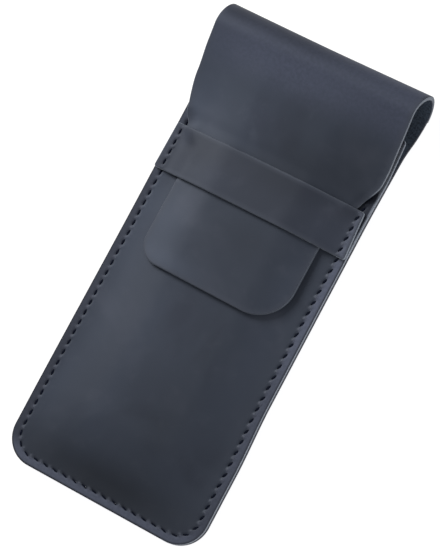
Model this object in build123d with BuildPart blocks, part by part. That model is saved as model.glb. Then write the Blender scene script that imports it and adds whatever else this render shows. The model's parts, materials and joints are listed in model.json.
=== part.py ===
import os
from math import atan2, cos, degrees, pi, radians, sin, tan

from build123d import *

# A flat leather pen case, lying on its back on the table, flap shut.
# X runs across the case, Y along it towards the fold, Z up from the table.
# Every length is in millimetres. Distances "up" are measured from the case's bottom edge.

# Overall
case_length = 160.0  # bottom edge to the outside of the fold
body_width = 72.0  # stitched body, after its edge was dressed
fold_overhang = 0.5  # how far the undressed fold and flap stand past the body on each side
leather = 1.4  # thickness of every sheet
corner_radius = 10.0  # bottom corners of the body

# Pouch: the two panels bulge away from a flat stitched rim
pouch_room = 4.6  # inside height along the middle
flat_width = 24.0  # width of the level middle of each panel
seam_band = 5.5  # width of the flat rim that the seam holds together
bottom_rise = 26.0  # length over which the bulge dies away above the bottom rim
mouth_drop = 15.0  # from the outside of the fold down to the front panel's top edge

# Fold and flap
fold_height = 14.6  # outside height of the rolled fold
fold_bends = 4  # lines that the rolled leather bends along as it unrolls, evenly spaced round it
fold_dip = 12.0  # degrees that the flap already slopes down where it leaves the roll
landing_slope = 0.08  # how steeply the flap's middle comes in under the strap
shoulder_radius = 15.0  # the flap's rounded shoulders above the strap

# Tongue: the end of the flap, tucked under the strap
tongue_width = 52.4
neck_step = 1.0  # how much further out the flap goes on each side where it meets the strap
tongue_reach = 28.0  # how far it shows below the strap
tongue_corner = 7.5
neck_fillet = 2.0

# Strap sewn across the body
strap_up = 102.4  # its lower edge
strap_width = 16.0
strap_foot = 4.0  # width of each end that lies flat on the rim

# Seam
stitch_pitch = 3.75
stitch_inset = 3.0  # from the body's edge to the line of holes
thread = 0.6  # thread diameter
slit_length = 1.5
slit_width = 0.8
slit_slant = 30.0  # degrees between each slit and the seam
groove_depth = 0.4
groove_width = 1.2
edge_hole_gap = 0.8  # from the strap's edge to the hole just outside it
strap_stitches = 5  # stitches from the hole above the strap to the hole below it

# Clearances
sheet_gap = 0.25  # between sheets that slide on each other
thread_gap = 0.03  # between the thread and the groove's floor
leg_gap = 0.12  # between the two passes of thread in one slit

# Steps between the cross sections that the curved stretches are lofted through
bottom_steps = 5
settle_steps = 4
cover_steps = 6

# Values worked out from the ones above
half_body = body_width / 2
half_fold = half_body + fold_overhang
half_flat = flat_width / 2
half_bulge = half_body - seam_band
bulge = pouch_room / 2
fold_radius = fold_height / 2
bottom_y = -case_length / 2
fold_y = bottom_y + case_length - fold_radius
mouth_y = bottom_y + case_length - mouth_drop
strap_low_y = bottom_y + strap_up
strap_high_y = strap_low_y + strap_width
tongue_tip_y = strap_low_y - tongue_reach
half_tongue = tongue_width / 2
half_neck = half_tongue + neck_step
rim_y = bottom_y + seam_band
full_y = rim_y + bottom_rise
rim_back = bulge  # underside of the rim: the back panel's middle bulges down to the table
rim_seam = rim_back + leather
rim_front = rim_seam + leather
rim_strap = rim_front + leather
tongue_under = rim_front + sheet_gap
tongue_top = tongue_under + bulge + leather
tall = 4 * fold_height  # deeper than anything that is trimmed through

os.makedirs("parts", exist_ok=True)


def across(y, tilt=0.0, z=0.0):
    """A plane across the case at y, its own y pointing up and leaning towards the bottom edge by tilt degrees."""
    lean = radians(tilt)
    return Plane(origin=(0, y, z), x_dir=(1, 0, 0), z_dir=(0, -cos(lean), -sin(lean)))


def ease(u):
    """0 to 1 with level ends."""
    return u * u * (3 - 2 * u)


def sheet_section(half_width, low, rise):
    """The cut end of one sheet: flat rims, a level middle that stands rise above them, curves between."""
    xs = (-half_width, -half_bulge, -half_flat, half_flat, half_bulge, half_width)
    lows = [(x, low + (rise if abs(x) <= half_flat else 0)) for x in xs]
    highs = [(x, z + leather) for x, z in lows]
    level = [(1, 0), (1, 0)]
    with BuildSketch() as section:
        with BuildLine():
            for side in (lows, highs):
                Line(side[0], side[1])
                Spline(side[1], side[2], tangents=level)
                Line(side[2], side[3])
                Spline(side[3], side[4], tangents=level)
                Line(side[4], side[5])
            Line(lows[0], highs[0])
            Line(lows[5], highs[5])
        make_face()
    return section.sketch


def body_outline(inset=0.0):
    """The body seen from above, its bottom corners rounded, shrunk by inset, running up to the mouth."""
    side = half_body - inset
    foot = bottom_y + inset
    corner = corner_radius - inset
    with BuildSketch() as outline:
        with BuildLine():
            FilletPolyline(
                (side, mouth_y), (side, foot), (-side, foot), (-side, mouth_y), radius=corner
            )
            Line((-side, mouth_y), (side, mouth_y))
        make_face()
    return outline.sketch


# The seam's line: down the left side, round the bottom and up the right side
seam_side = half_body - stitch_inset
seam_foot = bottom_y + stitch_inset
seam_corner = corner_radius - stitch_inset
seam_top = mouth_y - stitch_inset
seam_straight = seam_top - (bottom_y + corner_radius)
seam_turn = pi / 2 * seam_corner
seam_bottom = 2 * (half_body - corner_radius)


def seam_place(way):
    """The seam's point and heading, in degrees, this far along it."""
    side_end = seam_straight
    turn_end = side_end + seam_turn
    bottom_end = turn_end + seam_bottom
    last_turn_end = bottom_end + seam_turn
    if way <= side_end:
        return -seam_side, seam_top - way, -90.0
    if way <= turn_end:
        a = (way - side_end) / seam_corner
        x = -seam_side + seam_corner * (1 - cos(a))
        return x, seam_foot + seam_corner * (1 - sin(a)), -90.0 + degrees(a)
    if way <= bottom_end:
        return -seam_bottom / 2 + (way - turn_end), seam_foot, 0.0
    if way <= last_turn_end:
        a = (way - bottom_end) / seam_corner
        x = seam_bottom / 2 + seam_corner * sin(a)
        return x, seam_foot + seam_corner * (1 - cos(a)), degrees(a)
    return seam_side, seam_foot + seam_corner + (way - last_turn_end), 90.0


# Holes: a run above the strap, one across it, one round the bottom, then the same again upwards
seam_length = 2 * seam_straight + 2 * seam_turn + seam_bottom
above_strap = seam_top - (strap_high_y + edge_hole_gap)
beside_strap = strap_width + 2 * edge_hole_gap
below_strap = seam_length - 2 * (above_strap + beside_strap)
above_stitches = max(1, round(above_strap / stitch_pitch))
below_stitches = round(below_strap / stitch_pitch)
seam_runs = (
    ("left_top", above_strap, above_stitches, False),
    ("left_strap", beside_strap, strap_stitches, True),
    ("body", below_strap, below_stitches, False),
    ("right_strap", beside_strap, strap_stitches, True),
    ("right_top", above_strap, above_stitches, False),
)
holes = [seam_place(0)]
run_stitches = {}
way = 0.0
for run_name, run_length, run_count, over_strap in seam_runs:
    first = len(holes) - 1
    for n in range(run_count):
        way += run_length / run_count
        holes.append(seam_place(way))
    run_stitches[run_name] = (first, len(holes) - 1, over_strap)


# Slanted slits, and the band of the shallow groove that the thread lies in
with BuildSketch() as slits:
    for x, y, heading in holes:
        with Locations(Location((x, y, 0), (0, 0, heading + slit_slant))):
            SlotOverall(slit_length, slit_width)
with BuildSketch() as groove:
    add(body_outline(stitch_inset - groove_width / 2))
    add(body_outline(stitch_inset + groove_width / 2), mode=Mode.SUBTRACT)


# Fold: one round bend, cut across at the bend lines; its two ends go with the back panel and the flap
roll_turn = 180.0 + fold_dip
bend_turn = roll_turn / fold_bends
bend_lines = [bend_turn * (n + 0.5) for n in range(fold_bends)]


def roll_piece(first_turn, last_turn):
    """The rolled leather between two turns, in degrees, counted from where it leaves the back panel."""
    turns = [radians(t) for t in (first_turn, (first_turn + last_turn) / 2, last_turn)]
    side = Plane(origin=(-half_fold, fold_y, fold_radius), x_dir=(0, 1, 0), z_dir=(1, 0, 0))
    with BuildPart() as piece:
        with BuildSketch(side):
            with BuildLine():
                outside, inside = [
                    [(radius * sin(a), -radius * cos(a)) for a in turns]
                    for radius in (fold_radius, fold_radius - leather)
                ]
                ThreePointArc(*outside)
                ThreePointArc(*inside)
                Line(outside[0], inside[0])
                Line(outside[2], inside[2])
            make_face()
        extrude(amount=2 * half_fold)
    return piece.part


def pouch_half(low, rise):
    """One panel of the pouch from the bottom edge to the mouth, its rim at height low."""
    with BuildPart() as panel:
        with BuildSketch(across(full_y)):
            add(sheet_section(half_body, low, rise))
        extrude(amount=full_y - mouth_y)
        for k in range(bottom_steps + 1):
            with BuildSketch(across(rim_y + bottom_rise * k / bottom_steps)):
                add(sheet_section(half_body, low, rise * ease(k / bottom_steps)))
        loft()
        with BuildSketch(across(bottom_y)):
            add(sheet_section(half_body, low, 0.0))
        extrude(amount=bottom_y - rim_y)
        with BuildSketch(Plane.XY):
            add(body_outline())
        extrude(amount=tall, mode=Mode.INTERSECT)
    return panel.part


# Back panel: bulges down to the table, and runs up past the mouth into the start of the fold
with BuildPart() as back_panel:
    add(pouch_half(rim_back, -bulge))
    for k in range(settle_steps + 1):
        settle = ease(k / settle_steps)
        drop = bulge * (1 - settle)
        with BuildSketch(across(mouth_y + (fold_y - mouth_y) * k / settle_steps)):
            add(sheet_section(half_body + fold_overhang * settle, drop, -drop))
    loft()
    add(roll_piece(0, bend_lines[0]))
    with BuildSketch(Plane.XY):
        add(slits.sketch)
    extrude(amount=tall, mode=Mode.SUBTRACT)
    with BuildSketch(Plane.XY.offset(rim_back)):
        add(groove.sketch)
    extrude(amount=groove_depth, mode=Mode.SUBTRACT)
back_panel.part.label = "back_panel"
export_step(back_panel.part, "parts/back_panel.step")

# Front panel: bulges up, its mouth below the fold
with BuildPart() as front_panel:
    add(pouch_half(rim_seam, bulge))
    with BuildSketch(Plane.XY):
        add(slits.sketch)
    extrude(amount=tall, mode=Mode.SUBTRACT)
    with BuildSketch(Plane.XY.offset(rim_front - groove_depth)):
        add(groove.sketch)
    extrude(amount=groove_depth, mode=Mode.SUBTRACT)
front_panel.part.label = "front_panel"
export_step(front_panel.part, "parts/front_panel.step")


def neck_outline():
    """The flap from above, from the roll down to the tongue's tip."""
    inward = half_fold - half_neck
    turn = atan2((2 * shoulder_radius * inward - inward**2) ** 0.5, shoulder_radius - inward)
    shoulder_y = strap_high_y + shoulder_radius * sin(turn)
    middle = half_fold - shoulder_radius
    halfway = (
        middle + shoulder_radius * cos(turn / 2),
        shoulder_y - shoulder_radius * sin(turn / 2),
    )
    with BuildSketch() as outline:
        with BuildLine():
            ThreePointArc((half_fold, shoulder_y), halfway, (half_neck, strap_high_y))
            FilletPolyline(
                (half_neck, strap_high_y),
                (half_tongue, strap_high_y - 2 * neck_step),
                (half_tongue, tongue_tip_y),
                (0, tongue_tip_y),
                radius=(neck_fillet, tongue_corner),
            )
            Line((0, tongue_tip_y), (0, fold_y + fold_radius))
            Line((0, fold_y + fold_radius), (half_fold, fold_y + fold_radius))
            Line((half_fold, fold_y + fold_radius), (half_fold, shoulder_y))
        make_face()
        mirror(about=Plane.YZ)
    return outline.sketch


# Rolled fold: the strips between the bend lines, each a body of its own
for n in range(fold_bends - 1):
    strip_name = f"fold_strip_{n + 1}"
    fold_strip = roll_piece(bend_lines[n], bend_lines[n + 1])
    fold_strip.label = strip_name
    export_step(fold_strip, f"parts/{strip_name}.step")

# Flap cover: the end of the fold and on down to the strap, taking up the body's curve on the way
dip = radians(fold_dip)
cover_start_y = fold_y - fold_radius * sin(dip)
cover_start_z = fold_radius + fold_radius * cos(dip)
cover_run = cover_start_y - strap_high_y


def cover_height(u):
    """Height of the cover's outside along its middle, u going from 0 at the roll to 1 at the strap."""
    fall_start = -tan(dip) * cover_run
    fall_end = -landing_slope * cover_run
    return (
        cover_start_z * (1 - ease(u))
        + tongue_top * ease(u)
        + fall_start * u * (1 - u) ** 2
        - fall_end * u * u * (1 - u)
    )


with BuildPart() as flap_cover:
    for k in range(cover_steps + 1):
        u = k / cover_steps
        arch = bulge * u * (2 - u)
        plane = across(cover_start_y - cover_run * u, fold_dip * (1 - u), cover_height(u))
        with BuildSketch(plane):
            add(sheet_section(half_fold, -leather - arch, arch))
    loft()
    add(roll_piece(bend_lines[-1], roll_turn))
    with BuildSketch(Plane.XY):
        add(neck_outline())
    extrude(amount=tall, mode=Mode.INTERSECT)
flap_cover.part.label = "flap_cover"
export_step(flap_cover.part, "parts/flap_cover.step")

# Flap tongue: lies on the front panel, under the strap and out below it
with BuildPart() as flap_tongue:
    with BuildSketch(across(strap_high_y)):
        add(sheet_section(half_body, tongue_under, bulge))
    extrude(amount=strap_high_y - tongue_tip_y)
    with BuildSketch(Plane.XY):
        add(neck_outline())
    extrude(amount=tall, mode=Mode.INTERSECT)
flap_tongue.part.label = "flap_tongue"
export_step(flap_tongue.part, "parts/flap_tongue.step")

# Retaining strap: ends sewn flat on the rim, the middle bridging the tongue
strap_foot_x = half_body - strap_foot
strap_knee_z = tongue_under + leather + sheet_gap
strap_crown_z = tongue_top + sheet_gap
with BuildPart() as retaining_strap:
    with BuildSketch(across(strap_high_y)):
        with BuildLine():
            for lift in (0.0, leather):
                for side in (1, -1):
                    Line((side * half_body, rim_front + lift), (side * strap_foot_x, rim_front + lift))
                    Spline(
                        (side * strap_foot_x, rim_front + lift),
                        (side * half_neck, strap_knee_z + lift),
                        (side * half_flat, strap_crown_z + lift),
                        tangents=[(-side, 0), (-side, 0)],
                    )
                Line((-half_flat, strap_crown_z + lift), (half_flat, strap_crown_z + lift))
            for side in (1, -1):
                Line((side * half_body, rim_front), (side * half_body, rim_strap))
        make_face()
    extrude(amount=strap_width)
    with BuildSketch(Plane.XY):
        add(slits.sketch)
    extrude(amount=tall, mode=Mode.SUBTRACT)
    with BuildSketch(Plane.XY.offset(rim_strap - groove_depth)):
        add(groove.sketch)
    extrude(amount=groove_depth, mode=Mode.SUBTRACT)
retaining_strap.part.label = "retaining_strap"
export_step(retaining_strap.part, "parts/retaining_strap.step")

# Seam thread: each stitch is a closed loop through two neighbouring slits
leg_offset = (thread + leg_gap) / 2
stitch_low = rim_back + groove_depth - thread_gap - thread / 2
thread_bend = 0.75 * thread


def stitch_loop(here, there, high):
    """One loop of thread from the far side of one slit to the near side of the next."""
    ends = []
    for (x, y, heading), toward in ((here, 1), (there, -1)):
        slant = radians(heading + slit_slant)
        ends.append(Vector(x + toward * leg_offset * cos(slant), y + toward * leg_offset * sin(slant), 0))
    run = ends[1] - ends[0]
    plane = Plane(origin=ends[0], x_dir=run, z_dir=run.cross(Vector(0, 0, 1)))
    with BuildPart() as stitch:
        with BuildLine(plane) as loop:
            FilletPolyline(
                (0, high),
                (0, stitch_low),
                (run.length, stitch_low),
                (run.length, high),
                close=True,
                radius=thread_bend,
            )
        with BuildSketch(Plane(origin=loop.line @ 0, z_dir=loop.line % 0)):
            Circle(thread / 2)
        sweep(path=loop.line)
    return stitch.part


def thread_top(surface):
    """Height of the thread's middle where it lies in the groove of this surface."""
    return surface - groove_depth + thread_gap + thread / 2


# The long run round the bottom is kept as three nodes: left side, bottom, right side
first, last, over_strap = run_stitches.pop("body")
bottom_stitches = [n for n in range(first, last) if holes[n][2] > -90 and holes[n + 1][2] < 90]
run_stitches["left_side"] = (first, bottom_stitches[0], over_strap)
run_stitches["bottom"] = (bottom_stitches[0], bottom_stitches[-1] + 1, over_strap)
run_stitches["right_side"] = (bottom_stitches[-1] + 1, last, over_strap)
for run_name, (first, last, over_strap) in run_stitches.items():
    high = thread_top(rim_strap if over_strap else rim_front)
    loops = [stitch_loop(holes[n], holes[n + 1], high) for n in range(first, last)]
    with BuildPart() as thread_run:
        add(loops)
    thread_name = f"thread_{run_name}"
    thread_run.part.label = thread_name
    export_step(thread_run.part, f"parts/{thread_name}.step")
    print(thread_name, "has", last - first, "stitches")
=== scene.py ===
import json
import math
import random

import bpy
from mathutils import Matrix, Vector, kdtree, noise
from mathutils.geometry import delaunay_2d_cdt

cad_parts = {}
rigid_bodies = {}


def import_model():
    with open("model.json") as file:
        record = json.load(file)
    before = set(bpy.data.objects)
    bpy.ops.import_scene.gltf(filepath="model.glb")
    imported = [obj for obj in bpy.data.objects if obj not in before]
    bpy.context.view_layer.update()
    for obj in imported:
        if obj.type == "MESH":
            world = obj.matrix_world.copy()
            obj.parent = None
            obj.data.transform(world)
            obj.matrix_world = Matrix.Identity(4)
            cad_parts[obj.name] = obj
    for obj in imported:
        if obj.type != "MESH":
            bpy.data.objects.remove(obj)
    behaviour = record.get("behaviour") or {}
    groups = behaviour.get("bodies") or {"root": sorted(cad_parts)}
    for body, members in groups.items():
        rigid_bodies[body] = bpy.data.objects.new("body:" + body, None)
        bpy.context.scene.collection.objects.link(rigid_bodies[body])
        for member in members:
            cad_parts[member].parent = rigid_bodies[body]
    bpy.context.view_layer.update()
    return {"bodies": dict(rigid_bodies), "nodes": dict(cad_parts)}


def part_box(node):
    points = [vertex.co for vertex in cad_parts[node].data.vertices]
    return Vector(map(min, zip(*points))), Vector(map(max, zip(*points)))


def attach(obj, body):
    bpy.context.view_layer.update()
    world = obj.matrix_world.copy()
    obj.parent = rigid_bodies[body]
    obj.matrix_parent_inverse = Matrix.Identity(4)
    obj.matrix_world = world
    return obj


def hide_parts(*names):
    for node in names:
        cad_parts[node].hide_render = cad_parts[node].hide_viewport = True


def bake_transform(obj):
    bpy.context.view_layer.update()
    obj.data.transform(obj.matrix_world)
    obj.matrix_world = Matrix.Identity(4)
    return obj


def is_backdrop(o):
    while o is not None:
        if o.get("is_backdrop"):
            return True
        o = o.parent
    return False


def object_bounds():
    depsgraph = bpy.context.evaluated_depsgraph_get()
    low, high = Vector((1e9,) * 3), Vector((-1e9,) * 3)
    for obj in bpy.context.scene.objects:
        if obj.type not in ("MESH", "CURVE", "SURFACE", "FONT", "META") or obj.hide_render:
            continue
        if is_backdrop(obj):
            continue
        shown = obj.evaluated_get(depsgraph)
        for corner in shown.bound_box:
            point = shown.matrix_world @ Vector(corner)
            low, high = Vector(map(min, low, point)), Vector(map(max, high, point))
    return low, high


# Leather pen case with a tuck flap. Shapes are worked out in millimetres, meshes are made in metres.
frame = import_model()
mm = 0.001
print("frame loaded")


def spanOf(node):
    low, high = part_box(node)
    return low / mm, high / mm


panelLow, panelHigh = spanOf("front_panel")
strapLow, strapHigh = spanOf("retaining_strap")
coverHigh = spanOf("flap_cover")[1]
tongueLow = spanOf("flap_tongue")[0]
stripHigh = spanOf("fold_strip_2")[1]
bodyName = "case_body"
strips = sorted(name for name in frame["bodies"] if name.startswith("fold_strip"))

# Sizes that several pieces share
case = {
    "leather": 1.4,  # thickness of every sheet
    "bulge": 2.3,  # how far each panel stands off its flat rim
    "levelHalf": 12.0,  # half the level middle
    "rim": 5.5,  # flat rim outside the bulge
    "bottomRise": 21.0,
    "corner": 10.0,
    "layerGap": 0.16,  # air between leathers that slide on each other
    "wave": 0.22,  # soft unevenness of the front
    "waveWide": 26.0,
    "waveLong": 38.0,
    "waveStart": 4.2,
}
thick = case["leather"]
bulge = case["bulge"]
halfBody = panelHigh.x
bottomY = panelLow.y
mouthY = panelHigh.y
rimBack = bulge
rimFront = rimBack + 2 * thick
rimStrap = rimFront + thick
rimY = bottomY + case["rim"]
foldRadius = coverHigh.z / 2
foldY = stripHigh.y - foldRadius
halfFold = stripHigh.x


def ease(u):
    u = min(max(u, 0.0), 1.0)
    return u * u * (3 - 2 * u)


def between(value, start, end):  # 0 at the start, 1 at the end
    return ease((value - start) / (end - start))


def crown(x, y):  # 0 on the rim, 1 in the level middle
    across = between(abs(x), halfBody - case["rim"], case["levelHalf"])
    return across * ease((y - rimY) / case["bottomRise"])


def wave(x, y):
    place = Vector((x / case["waveWide"], y / case["waveLong"], case["waveStart"]))
    return case["wave"] * noise.noise(place)


# The seam pulls the long sides in, more on the right; each pull grows and fades along the case
sidePull = {
    "right": 0.76,
    "rightGrows": (-52, -28),
    "rightFades": (32, 66),
    "rightFadesBy": 0.75,
    "left": 0.42,
    "leftGrows": (-62, 13),
}


def drawIn(x, y):
    if x > 0:
        inward = sidePull["right"] * between(y, *sidePull["rightGrows"])
        inward *= 1 - sidePull["rightFadesBy"] * between(y, *sidePull["rightFades"])
    else:
        inward = sidePull["left"] * between(y, *sidePull["leftGrows"])
    return x - inward * x / halfBody


def edgeInset(x, y):  # distance inside the body's cut edge, the mouth left out
    dx = abs(x) - (halfBody - case["corner"])
    dy = bottomY + case["corner"] - y
    if dx > 0 and dy > 0:
        return case["corner"] - math.hypot(dx, dy)
    return min(halfBody - abs(x), y - bottomY)


# The seam: each stitch lies slanted in the slit it was sewn through
seam = {
    "inset": 2.85,
    "belowMouth": 3.0,  # first slit
    "topStitches": 6,
    "strapStitches": 5,
    "leftStitches": 27,
    "bottomStitches": 17,
    "rightStitches": 26,
    "pastStrap": 0.95,  # middle of the end slits to the strap's edge
    "slitLong": 1.95,
    "slitWide": 0.64,
    "slitBlunt": 0.8,  # 1 is a plain oval, less has fuller ends
    "slitSides": 16,
    "bottomSlim": 0.32,  # slits along the bottom are this much finer
    "slantLeft": 4.0,
    "slantBottom": 14.0,
    "slantRight": 24.0,
    "strayAlong": 0.13,  # each slit strays a little from its place, as by hand
    "strayAcross": 0.07,
    "strayTurn": 4.0,
    "thread": 0.54,
    "twist": 1.3,  # length of one turn of the two strands
    "twistDepth": 0.22,  # share of the thread that the groove between the strands takes
    "threadBend": 0.5,
    "threadIn": 0.45,  # share of the thread that keeps off the slit's ends
    "threadSink": 0.12,  # middle of the thread under the leather's face
    "sink": 0.14,  # how far the leather dips at a slit
    "sinkWidth": 0.55,
    "pucker": 0.22,  # leather pinched up between two stitches
    "puckerWidth": 1.0,
    "reliefBand": (1.0, 5.0),  # insets between which the seam shapes the leather
    "slitNear": 2.4,  # further off, no slit shapes it
    "bandShort": 0.5,  # the pressed band ends this far outside the seam
    "bandFade": 0.9,
}
seamHalf = halfBody - seam["inset"]
seamFoot = bottomY + seam["inset"]
seamCorner = case["corner"] - seam["inset"]
seamTop = mouthY - seam["belowMouth"]
straight = seamTop - (bottomY + case["corner"])
turn = math.pi / 2 * seamCorner
flatRun = 2 * (halfBody - case["corner"])


def seamPoint(way):  # down the left side, round the bottom, up the right side
    x0 = halfBody - case["corner"]
    y0 = bottomY + case["corner"]
    if way <= straight:
        return Vector((-seamHalf, seamTop - way)), -90.0
    way -= straight
    if way <= turn:
        a = way / seamCorner
        point = Vector((-x0 - seamCorner * math.cos(a), y0 - seamCorner * math.sin(a)))
        return point, -90 + math.degrees(a)
    way -= turn
    if way <= flatRun:
        return Vector((-x0 + way, seamFoot)), 0.0
    way -= flatRun
    if way <= turn:
        a = way / seamCorner
        point = Vector((x0 + seamCorner * math.sin(a), y0 - seamCorner * math.cos(a)))
        return point, math.degrees(a)
    return Vector((seamHalf, y0 + way - turn)), 90.0


def seamRuns():
    above = seamTop - strapHigh.y - seam["pastStrap"]
    beside = strapHigh.y - strapLow.y + 2 * seam["pastStrap"]
    side = straight - above - beside + turn / 2
    bottom = flatRun + turn
    return [
        ("thread_left_top", above, seam["topStitches"]),
        ("thread_left_strap", beside, seam["strapStitches"]),
        ("thread_left_side", side, seam["leftStitches"]),
        ("thread_bottom", bottom, seam["bottomStitches"]),
        ("thread_right_side", side, seam["rightStitches"]),
        ("thread_right_strap", beside, seam["strapStitches"]),
        ("thread_right_top", above, seam["topStitches"]),
    ]


def slitLean(heading):  # degrees off the seam's own direction
    if heading < 0:
        return seam["slantLeft"] + (seam["slantBottom"] - seam["slantLeft"]) * (heading + 90) / 90
    return seam["slantBottom"] + (seam["slantRight"] - seam["slantBottom"]) * heading / 90


dice = random.Random(7)


def stray(most):
    return dice.uniform(-most, most)


def seamSlits():  # for each run of thread, its slits as (middle, direction)
    made = {}
    way = 0.0
    last = None
    for node, length, count in seamRuns():
        row = [last] if last else []
        for n in range(len(row), count + 1):
            isEnd = n in (0, count)
            at = way + length * n / count + (0.0 if isEnd else stray(seam["strayAlong"]))
            middle, heading = seamPoint(at)
            lean = heading - slitLean(heading) + stray(seam["strayTurn"])
            direction = Vector((math.cos(math.radians(lean)), math.sin(math.radians(lean))))
            across = Vector((-direction.y, direction.x)) * stray(seam["strayAcross"])
            row.append((middle + across, direction))
        made[node] = row
        last = row[-1]
        way += length
    return made


slitRows = seamSlits()
slits = [slit for n, row in enumerate(slitRows.values()) for slit in (row if n == 0 else row[1:])]


def treeOf(points):
    tree = kdtree.KDTree(len(points))
    for n, point in enumerate(points):
        tree.insert((point.x, point.y, 0), n)
    tree.balance()
    return tree


slitTree = treeOf([middle for middle, _ in slits])
pinchTree = treeOf([a.lerp(b, 0.5) for (a, _), (b, _) in zip(slits[:-1], slits[1:])])


def slitSlim(along):
    return 1 - seam["bottomSlim"] * along.x ** 2


def slitShape(slit, swell=0.0):
    middle, along = slit
    aside = Vector((-along.y, along.x))
    halfLong = seam["slitLong"] / 2 + swell
    halfWide = seam["slitWide"] / 2 * slitSlim(along) + swell
    points = []
    for k in range(seam["slitSides"]):
        t = 2 * math.pi * k / seam["slitSides"]
        wide = halfWide * math.copysign(abs(math.sin(t)) ** seam["slitBlunt"], math.sin(t))
        points.append(middle + along * (halfLong * math.cos(t)) + aside * wide)
    return points


outOfReach = 9.0


def slitReach(x, y):  # 1 at a slit's rim, more outside it
    _, n, far = slitTree.find((x, y, 0))
    if far > seam["slitNear"]:
        return outOfReach
    middle, along = slits[n]
    offset = Vector((x, y)) - middle
    long = offset.dot(along) / (seam["slitLong"] / 2)
    wide = offset.dot(Vector((-along.y, along.x))) / (seam["slitWide"] / 2 * slitSlim(along))
    return math.hypot(long, wide)


def inSeamBand(x, y):
    outer, inner = seam["reliefBand"]
    return outer < edgeInset(x, y) < inner


def seamPinch(x, y):
    if not inSeamBand(x, y):
        return 0.0
    return 1 - ease(pinchTree.find((x, y, 0))[2] / seam["puckerWidth"])


def seamRelief(x, y):  # dips at the slits, pinched up between them
    if not inSeamBand(x, y):
        return 0.0
    dip = 1 - ease((slitReach(x, y) - 1.0) * seam["slitWide"] / 2 / seam["sinkWidth"])
    return seam["pucker"] * seamPinch(x, y) - seam["sink"] * dip


def bandAt(x, y):  # 1 in the pressed band outside the seam
    return 1 - ease((edgeInset(x, y) - seam["inset"] + seam["bandShort"]) / seam["bandFade"])


# How each leather lies: a flat place and a height in the sheet give a point
def frontTop(x, y):
    return rimFront + (bulge + wave(x, y)) * crown(x, y)


def frontPlace(x, y, h):
    z = frontTop(x, y) - thick + h
    if h > thick / 2:
        z += seamRelief(x, y)
    return drawIn(x, y), y, z


fold = {
    "turn": 192.0,  # degrees that the leather is rolled round
    "skew": -0.8,  # the flap lies a little to the left
    "skewOver": 1.7,  # radians of the roll over which it shifts
    "narrow": 0.4,
    "bow": 0.26,  # the middle of the fold sits lower
    "bowPower": 1.3,
    "bowOver": 1.5,
    "leftTuck": 0.4,
    "tuckOver": 1.4,
    "tuckFades": (3.3, 1.7),
    "settleFrom": mouthY - 5.5,
    "tint": 0.85,  # the hide goes purple where it is stretched round the fold
    "tintGrows": 8.0,
    "tintPast": 2.0,
    "tintFades": 13.0,
    "tintLeft": 0.65,  # share of it that is left at the left side
    "tintEvens": (-34, -18),
    "rawBack": 0.55,  # share of the cut edges' painted highlight that is left at the back
    "rawGrows": (1.2, 2.2),
}
foldStart = foldY - bottomY
rollTurn = math.radians(fold["turn"])
rollEnd = foldStart + foldRadius * rollTurn
coverStartY = foldY + foldRadius * math.sin(rollTurn)
coverStartZ = foldRadius - foldRadius * math.cos(rollTurn)


def flapShift(x, share):  # share of the way round the fold
    return x * (1 - fold["narrow"] / halfFold * share) + fold["skew"] * share


def rollPlace(x, a, h):
    radius = foldRadius - thick + h
    share = ease((a - math.pi / 2) / fold["skewOver"])
    low = fold["bow"] * (1 - abs(x / halfFold) ** fold["bowPower"]) * ease(a / fold["bowOver"])
    if x < 0:
        tucked = ease(a / fold["tuckOver"]) * between(a, *fold["tuckFades"])
        x -= fold["leftTuck"] * (x / halfFold) * tucked
    return flapShift(x, share), foldY + radius * math.sin(a) - low, foldRadius - radius * math.cos(a)


def backPlace(x, s, h):
    if s > foldStart:
        return rollPlace(x, (s - foldStart) / foldRadius, h)
    y = bottomY + s
    settle = ease((y - fold["settleFrom"]) / (foldY - fold["settleFrom"]))
    z = bulge * (1 - crown(x, y)) * (1 - settle) + thick - h
    if h > thick / 2:
        z -= seamRelief(x, y)
    return drawIn(x, y), y, z


# Flap: places along the case are measured as for the rest, from its middle
flap = {
    "landing": 0.08,  # slope as it meets the strap
    "shoulderFrom": 55.0,  # where the sides start to curve in
    "shoulderOver": 16.6,
    "shoulderIn": 3.65,
    "shoulderPower": 1.6,
    "outlineStep": 1.6,
    "neckRound": 6.0,  # the shoulders' last bend, from one heading to another
    "neckFrom": 20,
    "neckTurn": 56,
    "neckSteps": 7,
    "neckOut": 0.15,  # it meets the tongue in a small hollow
    "neckFillet": 1.2,
    "tongueHalf": 26.2,
    "tongueCorner": 7.5,
    "rightCorner": 12.5,
    "rightCut": 2.0,  # both shoulders are cut further in above the strap
    "rightCutOver": (48, 40),
    "leftCut": 1.3,
    "leftCutOver": (42.5, 39),
    "cutFades": 3.0,  # towards the tongue
    "tongueSlant": 0.6,  # the tip reaches a little further on the right
    "skewEnds": 40.0,
    "skewOver": 18.0,
    "leftTuck": 0.5,
    "tuckGrows": (65, 56),
    "tuckFades": (39.5, 45.5),
    "springUp": 0.32,  # the tongue's free edges stand off the front
    "springFrom": 2.0,  # below the strap
    "springOver": 14.0,
    "springSides": (14, 26),
    "springTip": 12.0,
    "sideShare": 0.75,
    "tipShare": 0.35,
    "pressedFrom": 6.0,  # above the strap the flap is pressed down to go under it
    "pressedOver": 5.6,
    "pressedPast": 1.0,
    "pressedGap": 0.05,
    "pressedThin": 0.45,  # thickness that it keeps
    "spacing": 1.3,
}
strap = {
    "footAt": 32.6,  # the sewn ends lie flat outside this
    "footUpper": 0.9,  # and further out at the upper edge, where the flap is wider
    "levelAt": 24.0,
    "levelUpper": 4.2,
    "upperBand": 6.0,
    "leftIn": (0.55, 0.2),  # the ends are pulled in, at the upper and the lower edge
    "rightIn": (1.35, 0.2),
    "cornerRound": 0.75,
    "edgeIn": 1.15,
    "seamClear": 5.3,
    "spacing": 1.1,
}


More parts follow.
